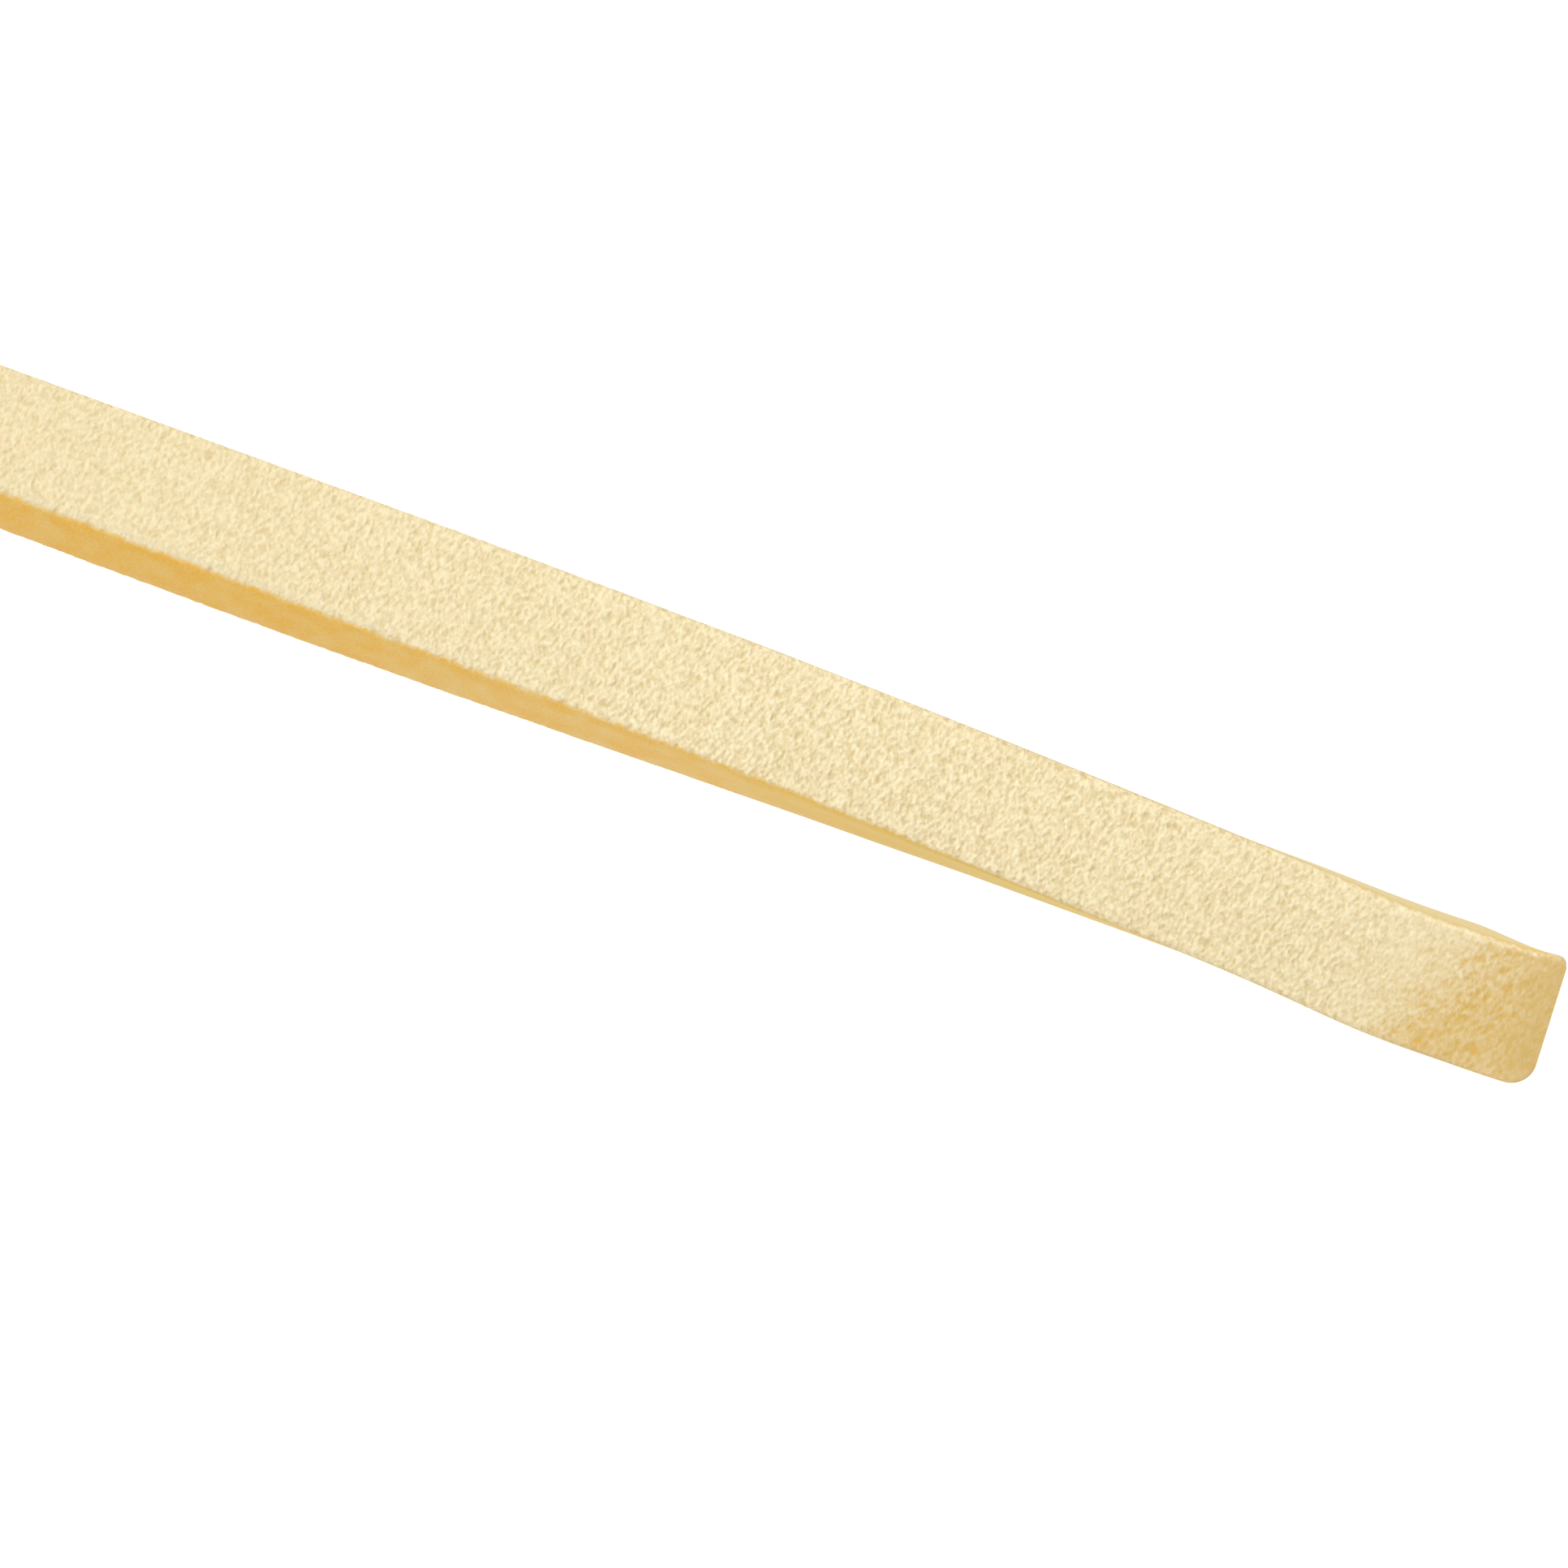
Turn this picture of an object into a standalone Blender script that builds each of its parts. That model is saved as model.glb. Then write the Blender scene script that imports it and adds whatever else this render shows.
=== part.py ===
"""One strand of flat dry pasta, lying on a level surface. Metres, +Z up.

The strand runs along X. Its origin is under the middle of its length, on the surface it lies on.
It starts as a straight bar with rounded ends and rims, is cut into short stretches, and is then
swayed, swelled and twisted the way a strand warps as it dries.
"""

import math

import bmesh
import bpy

# Driving dimensions, in metres and degrees.
STRAND_LENGTH = 0.250
STRAND_WIDTH = 0.0038
STRAND_THICKNESS = 0.0021

# Rounding. The rims run along the strand, and the corners are where a rim meets an end cut.
RIM_RADIUS = 0.0002
RIM_SEGMENTS = 2
CORNER_SEGMENTS = 4
CORNER_RADIUS = {(1, -1): 0.0007, (1, 1): 0.0003, (-1, -1): 0.0003, (-1, 1): 0.0006}
NOSE_LENGTH = 0.0009
NOSE_DROP = 0.00004

# Undercut. Each end thins at a slant from below, so that little more than its top skin reaches the cut.
UNDERCUT_FROM = 0.0030
UNDERCUT_TO = 0.0006
UNDERCUT_KEPT = 0.2

# Bend. The last stretch of the more twisted end leans to the far side, and its cut is a little askew.
BEND_LENGTH = 0.0042
BEND_REACH = 0.00031
CUT_SKEW = 0.08
SKEW_PIVOT = 0.0012

# Warping. Each end turns about the strand's own axis and curls up a little, and the rest lies flat.
TWIST_START = 0.075
TWIST_ANGLE = math.radians(38.0)
TWIST_LATENESS = 1.57
BACK_TWIST_START = 0.085
BACK_TWIST_ANGLE = math.radians(-14.0)
END_LIFT = 0.0005
SWAY = 0.00024
SWAY_WAVELENGTH = 0.079
SWAY_CREST = 0.1038
SWELL = 0.0002
SWELL_WAVELENGTH = 0.0525
SWELL_CREST = 0.0865

# Spacing of the cross cuts that let the bar bend.
FLAT_STEP = 0.010
TWIST_STEP = 0.005
UNDERCUT_STEPS = 5

# The dough's finish.
DOUGH_COLOUR = (0.86, 0.71, 0.41, 1.0)
DOUGH_ROUGHNESS = 0.55

COLLECTION_NAME = "flat_pasta_strand"
STRAND_NAME = "strand"


def smooth_step(amount):
    """Rises from 0 to 1 with a level start and end: 3u squared minus 2u cubed."""
    amount = min(max(amount, 0.0), 1.0)
    return amount * amount * (3.0 - 2.0 * amount)


def reach_at(x):
    """How far along its warped end a place is: 0 where the strand lies flat, 1 at the end cut."""
    start = TWIST_START if x > 0 else BACK_TWIST_START
    return max(abs(x) - start, 0.0) / (STRAND_LENGTH / 2 - start)


def twist_at(x):
    """Turn of the section about the strand's axis, growing smoothly from where each twist starts."""
    if x > 0:
        return TWIST_ANGLE * smooth_step(reach_at(x) ** TWIST_LATENESS)
    return BACK_TWIST_ANGLE * smooth_step(reach_at(x))


def width_at(x):
    """The strand's width, which swells and narrows along it as one cosine wave."""
    return STRAND_WIDTH + SWELL * math.cos(math.tau * (x - SWELL_CREST) / SWELL_WAVELENGTH)


def bend_share(x):
    """0 behind the bend of the front end, rising evenly to 1 at the cut."""
    return max(1.0 - (STRAND_LENGTH / 2 - x) / BEND_LENGTH, 0.0)


def sway_at(x):
    """Sideways place of the strand's axis: a slow cosine wave, and the square of the bend's share."""
    wave = SWAY * math.cos(math.tau * (x - SWAY_CREST) / SWAY_WAVELENGTH)
    return wave + BEND_REACH * bend_share(x) ** 2


def thinned(x, z):
    """Height in the section near an end: the top bends down a little and the rest closes up to it."""
    depth = STRAND_LENGTH / 2 - abs(x)
    inside = min(depth / NOSE_LENGTH, 1.0)
    top = STRAND_THICKNESS / 2 - NOSE_DROP * (1.0 - math.sqrt(max(1.0 - (1.0 - inside) ** 2, 0.0)))
    full = smooth_step((depth - UNDERCUT_TO) / (UNDERCUT_FROM - UNDERCUT_TO))
    return top - (STRAND_THICKNESS / 2 - z) * (UNDERCUT_KEPT + (1.0 - UNDERCUT_KEPT) * full)


def height_at(x):
    """Height of the axis: the section's lowest point is on the surface, or just off it near an end."""
    twist = twist_at(x)
    half_width = width_at(x) / 2 - RIM_RADIUS
    half_thickness = STRAND_THICKNESS / 2 - RIM_RADIUS
    lowest = abs(math.sin(twist)) * half_width + math.cos(twist) * half_thickness + RIM_RADIUS
    return lowest + END_LIFT * smooth_step(reach_at(x))


def warped(point):
    """Moves a point of the straight bar to its place in the warped strand."""
    x, y, z = point
    across = y * width_at(x) / STRAND_WIDTH
    up = thinned(x, z)
    twist = twist_at(x)
    turned_y = across * math.cos(twist) - up * math.sin(twist)
    turned_z = across * math.sin(twist) + up * math.cos(twist)
    askew = CUT_SKEW * bend_share(x) * (across + SKEW_PIVOT)
    return (x - askew, turned_y + sway_at(x), turned_z + height_at(x))


def cut_places():
    """Places of the cross cuts: wide apart where the strand lies flat, closer where it twists or ends."""
    half = STRAND_LENGTH / 2
    stretches = [
        (-half, -BACK_TWIST_START, TWIST_STEP),
        (-BACK_TWIST_START, TWIST_START, FLAT_STEP),
        (TWIST_START, half, TWIST_STEP),
    ]
    places = []
    for start, end, step in stretches:
        count = round((end - start) / step)
        places += [start + (end - start) * i / count for i in range(count)]
    for step in range(1, UNDERCUT_STEPS + 1):
        depth = UNDERCUT_FROM * step / UNDERCUT_STEPS
        places += [half - depth, depth - half]
    return places[1:]


def round_corner(bm, side_x, side_y, radius):
    """Rounds the upright edge where an end cut meets a side."""
    upright = [
        edge for edge in bm.edges
        if all(v.co.x * side_x > 0 and v.co.y * side_y > 0 for v in edge.verts)
        and abs(edge.verts[0].co.z - edge.verts[1].co.z) > STRAND_THICKNESS / 2
    ]
    bmesh.ops.bevel(bm, geom=upright, offset=radius, segments=CORNER_SEGMENTS, profile=0.5, affect="EDGES")


def round_rims(bm):
    """Rounds every edge round the two broad faces."""
    rims = [edge for edge in bm.edges if abs(edge.verts[0].co.z - edge.verts[1].co.z) < RIM_RADIUS]
    bmesh.ops.bevel(bm, geom=rims, offset=RIM_RADIUS, segments=RIM_SEGMENTS, profile=0.5, affect="EDGES")


def build_strand_mesh():
    """The whole strand: a bar, its rounding, its cross cuts, its warp, centred across its width."""
    bm = bmesh.new()
    bmesh.ops.create_cube(bm, size=1.0)
    bmesh.ops.scale(bm, vec=(STRAND_LENGTH, STRAND_WIDTH, STRAND_THICKNESS), verts=bm.verts)
    for (side_x, side_y), radius in CORNER_RADIUS.items():
        round_corner(bm, side_x, side_y, radius)
    round_rims(bm)
    for x in cut_places():
        everything = bm.verts[:] + bm.edges[:] + bm.faces[:]
        bmesh.ops.bisect_plane(bm, geom=everything, plane_co=(x, 0, 0), plane_no=(1, 0, 0), dist=1e-7)
    for vert in bm.verts:
        vert.co = warped(vert.co)
    middle = (min(v.co.y for v in bm.verts) + max(v.co.y for v in bm.verts)) / 2
    bmesh.ops.translate(bm, vec=(0, -middle, 0), verts=bm.verts)
    bmesh.ops.recalc_face_normals(bm, faces=bm.faces)
    mesh = bpy.data.meshes.new(STRAND_NAME)
    bm.to_mesh(mesh)
    bm.free()
    mesh.shade_smooth()
    mesh.set_sharp_from_angle(angle=math.radians(50))
    return mesh


def dough_material():
    """Dried dough: pale straw yellow with a soft, slightly waxy surface."""
    material = bpy.data.materials.new("dried_dough")
    material.use_nodes = True
    shader = material.node_tree.nodes["Principled BSDF"]
    shader.inputs["Base Color"].default_value = DOUGH_COLOUR
    shader.inputs["Roughness"].default_value = DOUGH_ROUGHNESS
    shader.inputs["Metallic"].default_value = 0.0
    return material


def clear_scene():
    for old in list(bpy.data.objects):
        bpy.data.objects.remove(old, do_unlink=True)


def main():
    clear_scene()
    collection = bpy.data.collections.new(COLLECTION_NAME)
    bpy.context.scene.collection.children.link(collection)
    mesh = build_strand_mesh()
    mesh.materials.append(dough_material())
    strand = bpy.data.objects.new(STRAND_NAME, mesh)
    collection.objects.link(strand)


main()
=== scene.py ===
# %% [markdown]
# # A strand of flat dry pasta
#
# Flat dry pasta is a dough of durum wheat and water, rolled out or pressed through a slot, cut into long
# bars and dried slowly. The two broad faces keep a rough, floury skin, and the cut sides stay smooth and
# look like amber. This lesson builds one strand that lies on a table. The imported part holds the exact
# outer size, so the lesson loads it first and then dresses it with a fine surface, step by step.

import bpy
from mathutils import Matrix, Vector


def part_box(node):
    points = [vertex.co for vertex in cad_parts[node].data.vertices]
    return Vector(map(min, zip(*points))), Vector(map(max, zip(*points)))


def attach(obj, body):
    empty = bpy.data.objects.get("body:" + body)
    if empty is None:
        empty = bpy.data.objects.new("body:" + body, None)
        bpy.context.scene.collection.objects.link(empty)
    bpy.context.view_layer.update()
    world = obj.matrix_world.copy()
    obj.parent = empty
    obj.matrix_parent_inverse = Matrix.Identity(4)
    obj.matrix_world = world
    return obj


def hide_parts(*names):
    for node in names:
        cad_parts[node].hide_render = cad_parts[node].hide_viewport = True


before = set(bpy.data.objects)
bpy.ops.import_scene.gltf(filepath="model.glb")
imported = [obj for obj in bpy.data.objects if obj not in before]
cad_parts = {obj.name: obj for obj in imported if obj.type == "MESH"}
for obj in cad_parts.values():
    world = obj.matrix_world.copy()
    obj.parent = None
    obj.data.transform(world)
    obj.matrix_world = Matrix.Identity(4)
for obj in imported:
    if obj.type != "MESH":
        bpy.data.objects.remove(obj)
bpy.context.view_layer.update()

# %% [markdown]
# ## Modules and units
#
# The surface has about a hundred thousand points. Plain Python would visit them one by one, and numpy
# works on all of them at once, so the lesson uses numpy for every shape. Blender counts in metres here,
# so a size in millimetres is written as a number times MM. The strand's length and its middle are read
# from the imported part, so that the surface can't drift away from it.

# %% Modules, units and the strand's own box
import math

import bpy
import numpy as np
from mathutils import Matrix, Vector

MM = 0.001

strand_low, strand_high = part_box("strand")
STRAND_LENGTH = strand_high.x - strand_low.x
STRAND_MIDDLE_Y = (strand_low.y + strand_high.y) / 2
HALF_LENGTH = STRAND_LENGTH / 2
print("strand is", round(STRAND_LENGTH / MM, 2), "mm long")

# %% [markdown]
# ## How the strand warps
#
# A real strand is never a ruler. As it dries, one end winds about its own axis, the other end winds a
# little the other way, the middle stays flat, and the width breathes by a few tenths of a millimetre.
# A curve with a bevel could carry such a shape, but its section can't swell, turn and round off at the
# same time. Here each of these habits is a small function of the place along the strand, and the surface
# is worked out from them as whole arrays.

# %% Steps and waves along the strand
SWAY = 0.24 * MM
SWAY_WAVELENGTH = 79 * MM
SWAY_CREST = 103.8 * MM
STRAND_WIDTH = 3.8 * MM
SWELL = 0.2 * MM
SWELL_WAVELENGTH = 52.5 * MM
SWELL_CREST = 86.5 * MM


def smooth_step(amount):
    """Rises from 0 to 1 with a level start and end: 3u squared minus 2u cubed."""
    amount = np.clip(amount, 0.0, 1.0)
    return amount * amount * (3.0 - 2.0 * amount)


def between(value, start, end):
    """0 up to start, 1 from end on, and a smooth step in between."""
    return smooth_step((value - start) / (end - start))


def wave(x, height, wavelength, crest):
    """One cosine wave along the strand with its crest at the given place."""
    return height * np.cos(math.tau * (x - crest) / wavelength)


def width_at(x):
    """The width: its plain value plus the swell's cosine wave."""
    return STRAND_WIDTH + wave(x, SWELL, SWELL_WAVELENGTH, SWELL_CREST)


places = np.linspace(-HALF_LENGTH, HALF_LENGTH, 6)
print("width in mm at six places:", (width_at(places) / MM).round(2).tolist())

# %% Twist and height along the strand
STRAND_THICKNESS = 2.1 * MM
RIM_RADIUS = 0.2 * MM
TWIST_START = 75 * MM
TWIST_ANGLE = math.radians(38.0)
TWIST_LATENESS = 1.57
BACK_TWIST_START = 85 * MM
BACK_TWIST_ANGLE = math.radians(-14.0)
END_LIFT = 0.5 * MM


def reach_at(x):
    """Share of the way through a warped end: 0 where the strand lies flat, 1 at the end cut."""
    start = np.where(x > 0, TWIST_START, BACK_TWIST_START)
    return np.maximum(np.abs(x) - start, 0.0) / (HALF_LENGTH - start)


def twist_at(x):
    """Turn of the section about the strand's axis, a smooth step of the reach, later on the front end."""
    front = TWIST_ANGLE * smooth_step(reach_at(x) ** TWIST_LATENESS)
    back = BACK_TWIST_ANGLE * smooth_step(reach_at(x))
    return np.where(x > 0, front, back)


def height_at(x):
    """Height of the axis that puts the lowest point of the turned section on the table, plus the lift.

    The lowest point is below the axis by the turn's sine times half the core's width, plus the turn's
    cosine times half its thickness, plus the rim's radius. The lift is a smooth step of the reach.
    """
    turn = twist_at(x)
    half_width = width_at(x) / 2 - RIM_RADIUS
    half_thickness = STRAND_THICKNESS / 2 - RIM_RADIUS
    lowest = np.abs(np.sin(turn)) * half_width + np.cos(turn) * half_thickness + RIM_RADIUS
    return lowest + END_LIFT * smooth_step(reach_at(x))


print("twist in degrees at six places:", np.degrees(twist_at(places)).round(1).tolist())

# %% [markdown]
# ## How the strand ends
#
# Each end is a cut with softened corners: seen from above, every corner has its own radius, and seen from
# the side, the dough thins at a slant from below, so that little more than the top skin reaches the cut.
# The last few millimetres of the front end also lean to the far side, their cut is a little askew, and
# just before it the near side bellies out by a tenth of a millimetre while the far side draws in by half
# as much. A Bevel modifier would need its own edges for each radius. It is simpler to say how wide and
# how thick a section is at a given depth behind the cut, because a quarter circle is one square root.

# %% Outline of the ends
CORNER_RADIUS = {("front", "near"): 0.7 * MM, ("front", "far"): 0.3 * MM,
                 ("back", "near"): 0.3 * MM, ("back", "far"): 0.6 * MM}
BELLY = {"near": 0.095 * MM, "far": -0.042 * MM}
BELLY_AT = 119.9 * MM
BELLY_LENGTH = 1.9 * MM
BEND_LENGTH = 4.2 * MM


def lost_to_round(depth, radius):
    """How much a quarter circle of that radius takes off a side, at a depth behind the cut."""
    inside = np.minimum(depth, radius)
    return radius - np.sqrt(np.maximum(radius ** 2 - (radius - inside) ** 2, 0.0))


def side_reach(x, side):
    """Half width on the near (-Y) or far (+Y) side: half the plain width plus the belly less the corner.

    The belly is a bell curve, exp(-(distance / length) squared), round one place.
    """
    depth = HALF_LENGTH - np.abs(x)
    front = lost_to_round(depth, CORNER_RADIUS["front", side])
    back = lost_to_round(depth, CORNER_RADIUS["back", side])
    belly = BELLY[side] * np.exp(-((x - BELLY_AT) / BELLY_LENGTH) ** 2)
    return STRAND_WIDTH / 2 + belly - np.where(x > 0, front, back)


def bend_share(x):
    """0 behind the bend of the front end, rising evenly to 1 at the cut."""
    return np.maximum(1 - (HALF_LENGTH - x) / BEND_LENGTH, 0.0)


print("near half width at the belly:", round(float(side_reach(BELLY_AT, "near") / MM), 3), "mm")

# %% Thinning of the ends
NOSE_LENGTH = 0.9 * MM
NOSE_DROP = 0.04 * MM
UNDERCUT_FROM = 3.0 * MM
UNDERCUT_TO = 0.6 * MM
UNDERCUT_KEPT = 0.2


def thinned(x, z):
    """Height in a section near a cut: the top bends down as a quarter ellipse, the rest closes up to it."""
    depth = HALF_LENGTH - np.abs(x)
    top = STRAND_THICKNESS / 2 - NOSE_DROP / NOSE_LENGTH * lost_to_round(depth, NOSE_LENGTH)
    kept = UNDERCUT_KEPT + (1 - UNDERCUT_KEPT) * between(depth, UNDERCUT_TO, UNDERCUT_FROM)
    return top - (STRAND_THICKNESS / 2 - z) * kept


print("thickness left at the cut:", round(STRAND_THICKNESS * UNDERCUT_KEPT / MM, 2), "mm")

# %% [markdown]
# ## Where the mesh needs its points
#
# The grain on the dough is a fifth of a millimetre across, and the strand is a quarter of a metre long.
# A mesh that is even all over would waste most of its points, so the rings that make up the strand are
# packed close on the stretch that is looked at from nearby and spread out on the rest. Round the section
# the top face gets the most points. Each point of the ring is described by three numbers: its place
# across the flat core, its place through the core, and the direction in which the rim's radius points.

# %% Layout of one ring
TOP_PARTS = 68
BOTTOM_PARTS = 12
SIDE_PARTS = 4
RIM_PARTS = 3


def ring_layout():
    """Place across the core, place up the core and turn of the rim's radius, for each point of a ring.

    The ring starts at the foot of the far side and runs up it, over the top, down the near side and back
    underneath. A straight stretch keeps its turn, and a rim's stretch turns evenly by 90 degrees.
    """
    across = []
    up = []
    turn = []
    stretches = [
        ((1, -1), (1, 1), 0, SIDE_PARTS), ((1, 1), (1, 1), 0, RIM_PARTS),
        ((1, 1), (-1, 1), 90, TOP_PARTS), ((-1, 1), (-1, 1), 90, RIM_PARTS),
        ((-1, 1), (-1, -1), 180, SIDE_PARTS), ((-1, -1), (-1, -1), 180, RIM_PARTS),
        ((-1, -1), (1, -1), 270, BOTTOM_PARTS), ((1, -1), (1, -1), 270, RIM_PARTS),
    ]
    for start, end, degrees, parts in stretches:
        share = np.arange(parts) / parts
        across.append(start[0] + (end[0] - start[0]) * share)
        up.append(start[1] + (end[1] - start[1]) * share)
        turn.append(np.radians(degrees + (90 * share if start == end else 0 * share)))
    return np.concatenate(across), np.concatenate(up), np.concatenate(turn)


core_across, core_up, rim_turn = ring_layout()
print("points in a full ring:", len(core_across))

# %% Places of the rings along the strand
FINE_STEP = 0.066 * MM
COARSE_STEP = 0.46 * MM
FINE_FROM = 77 * MM
SPREAD_OVER = 5 * MM
END_DEPTH = 1.0 * MM
END_RINGS = 18
RULER_MARKS = 20001


def ring_places():
    """Places of the rings along the strand.

    A fine ruler is walked along, and the count of rings grows by each step over the local spacing. Every
    whole number of the count is a ring. Next to each cut, the depths are squares of even shares.
    """
    x = np.linspace(-HALF_LENGTH + END_DEPTH, HALF_LENGTH - END_DEPTH, RULER_MARKS)
    spacing = COARSE_STEP + (FINE_STEP - COARSE_STEP) * between(x, FINE_FROM - SPREAD_OVER, FINE_FROM)
    count = np.concatenate([[0.0], np.cumsum(np.diff(x) / ((spacing[1:] + spacing[:-1]) / 2))])
    body = np.interp(np.linspace(0, count[-1], round(count[-1]) + 1), count, x)
    depth = END_DEPTH * (np.arange(END_RINGS) / END_RINGS) ** 2
    return np.concatenate([-HALF_LENGTH + depth, body, (HALF_LENGTH - depth)[::-1]])


ring_x = ring_places()
print("rings:", len(ring_x), "of which", int((ring_x > FINE_FROM).sum()), "on the fine stretch")

# %% [markdown]
# ## Noise to carve with
#
# The rough skin is a wrinkled film: thin pale crests round small sunken pits. A Displace modifier with a
# clouds texture could raise a mesh at random, but it knows nothing of crests or of the strand's length.
# So the lesson carves with a noise of its own, worked out for all points at once. Every corner of a unit
# grid holds a random slope, and a point blends the heights of the eight slopes around it. Each pattern
# is read at a place of its own in the noise, so that no two of them repeat each other.

# %% Gradient noise as whole arrays
NOISE_SEED = 11
NOISE_TABLE = 2048
NOISE_REACH = 0.6
NOISE_PLACE = {"bend": 31.5, "clumps": 7.1, "bulges": 3.3, "beads": 2.5, "amber": 5.5, "nicks": 9.5}

dice = np.random.default_rng(NOISE_SEED)
SHUFFLE = dice.permutation(NOISE_TABLE)
SLOPES = dice.normal(size=(NOISE_TABLE, 3))
SLOPES /= np.linalg.norm(SLOPES, axis=1, keepdims=True)


def noise(a, b, c):
    """Smooth noise from about minus to plus NOISE_REACH, with one cell to a unit.

    Each corner of the cell gives its slope times the way from it to the place. The eight are blended on
    each axis by 6u^5 - 15u^4 + 10u^3.
    """
    place = np.stack(np.broadcast_arrays(a, b, c), axis=-1)
    cell = np.floor(place).astype(int)
    part = place - cell
    ease = part ** 3 * (part * (part * 6 - 15) + 10)
    total = np.zeros(part.shape[:-1])
    for corner in np.ndindex(2, 2, 2):
        spot = cell + np.array(corner)
        pick = SHUFFLE[spot[..., 0] % NOISE_TABLE]
        pick = SHUFFLE[(pick + spot[..., 1]) % NOISE_TABLE]
        pick = SHUFFLE[(pick + spot[..., 2]) % NOISE_TABLE]
        slope_height = (SLOPES[pick] * (part - np.array(corner))).sum(axis=-1)
        weight = np.where(np.array(corner) == 1, ease, 1 - ease).prod(axis=-1)
        total += weight * slope_height
    return total


sample = noise(np.linspace(0, 50, 4001), 0.3, 0.7)
print("noise spread:", round(float(sample.std()), 3))

# %% [markdown]
# ## The skin of the dough
#
# Crests lie where a noise passes through zero, so exp(-(noise / width) squared) is a ridge with a soft
# foot. The coordinates are squeezed along the strand and leaned a little, because the rollers drag the
# skin and the wrinkles run across it. Near the front cut the fine wrinkles turn into larger ones that
# lean more. Broader clumps lie under the wrinkles, and slow bulges under both. All of these are heights
# from 0 to 1, and a later step decides how deep each of them is cut.

# %% Wrinkles
WRINKLE_ALONG = 0.15 * MM
WRINKLE_ACROSS = 0.40 * MM
WRINKLE_LEAN = 0.28
WRINKLE_WIDTH = 0.22
BEND_ALONG = 0.4
BEND_ACROSS = 0.2
CLUMP_SIZE = 0.45 * MM
END_WRINKLE_ALONG = 0.20 * MM
END_WRINKLE_ACROSS = 0.36 * MM
END_WRINKLE_LEAN = 0.55
END_WRINKLE_SHIFT = 3 * MM
END_WRINKLES_FROM = 6.0 * MM
END_WRINKLES_FULL = 0.4 * END_WRINKLES_FROM


def wrinkles(x, y, z, cell_along, cell_across, lean):
    """Crests from 0 to 1 at the zero lines of a noise, on leaned coordinates that a slower noise bends."""
    bend = noise(x / CLUMP_SIZE, y / CLUMP_SIZE, z / CLUMP_SIZE + NOISE_PLACE["bend"])
    along = (x - lean * y) / cell_along + BEND_ALONG * bend
    across = y / cell_across + BEND_ACROSS * bend
    field = noise(along, across, z / cell_along)
    return np.exp(-(field / WRINKLE_WIDTH) ** 2)


def skin(x, y, z):
    """Fine wrinkles that turn into larger, more leaning ones towards the front cut, from 0 to 1."""
    fine = wrinkles(x, y, z, WRINKLE_ALONG, WRINKLE_ACROSS, WRINKLE_LEAN)
    shifted_x = x + END_WRINKLE_SHIFT
    broad = wrinkles(shifted_x, y, z, END_WRINKLE_ALONG, END_WRINKLE_ACROSS, END_WRINKLE_LEAN)
    large = 1 - between(HALF_LENGTH - x, END_WRINKLES_FULL, END_WRINKLES_FROM)
    return fine + (broad - fine) * large


sample = skin(np.linspace(FINE_FROM, HALF_LENGTH, 4001), 0.0, STRAND_THICKNESS / 2)
print("mean height of the wrinkles along the top:", round(float(sample.mean()), 2))

# %% Clumps and bulges
CLUMP_SQUEEZE = 0.8
BULGE_SIZE = 7 * MM
BULGE_SQUEEZE = 1.6


def clumps(x, y, z):
    """Soft lumps under the wrinkles: one noise, brought to about 0 to 1."""
    place_along = x / CLUMP_SIZE + NOISE_PLACE["clumps"]
    lumps = noise(place_along, CLUMP_SQUEEZE * y / CLUMP_SIZE, z / CLUMP_SIZE)
    return np.clip(0.5 + lumps, 0, 1)


def bulges(x, y, z):
    """Slow hollows and swellings of the whole face, from 0 to 1."""
    place_up = z / BULGE_SIZE + NOISE_PLACE["bulges"]
    slow = noise(x / BULGE_SIZE, BULGE_SQUEEZE * y / BULGE_SIZE, place_up)
    return np.clip(0.5 + slow, 0, 1)


print("clumps are", round(CLUMP_SIZE / MM, 2), "mm and bulges", round(BULGE_SIZE / MM, 1), "mm long")

# %% [markdown]
# ## One surface from two parameters
#
# The strand's surface is a function of the place along it and the place round its section. The rings that
# close the two cuts belong to the same grid: they stay at the cut and shrink towards its middle. The
# first function builds the straight bar, whose outward directions are simple, and the relief is sunk
# there. The second swells, turns and lifts each section the way the strand warps. A Simple Deform
# modifier could twist a finished mesh, but not with a twist that starts late, or with a swell.

# %% From the straight bar to the warped strand
CUT_SHRINK = np.array([0.08, 0.26, 0.46, 0.68, 0.88])
BEND_REACH = 0.31 * MM
CUT_SKEW = 0.08
SKEW_PIVOT = 1.2 * MM


def bar_section(x, across, up, turn, grow):
    """Section of the straight bar: a flat core plus a rim's radius, grown outwards by the relief."""
    near = side_reach(x, "near") - RIM_RADIUS
    far = side_reach(x, "far") - RIM_RADIUS
    core_y = (far - near) / 2 + across * (far + near) / 2
    core_z = up * (STRAND_THICKNESS / 2 - RIM_RADIUS)
    return core_y + (RIM_RADIUS + grow) * np.cos(turn), core_z + (RIM_RADIUS + grow) * np.sin(turn)


def warped(x, y, z):
    """Swells, thins, turns, sways, lifts and bends the sections of the straight bar."""
    turn = twist_at(x)
    across = y * width_at(x) / STRAND_WIDTH
    up = thinned(x, z)
    turned_y = across * np.cos(turn) - up * np.sin(turn)
    turned_z = across * np.sin(turn) + up * np.cos(turn)
    sway = wave(x, SWAY, SWAY_WAVELENGTH, SWAY_CREST) + BEND_REACH * bend_share(x) ** 2
    askew = CUT_SKEW * bend_share(x) * (across + SKEW_PIVOT)
    return np.stack([x - askew, turned_y + sway, turned_z + height_at(x)], axis=-1)


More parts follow.
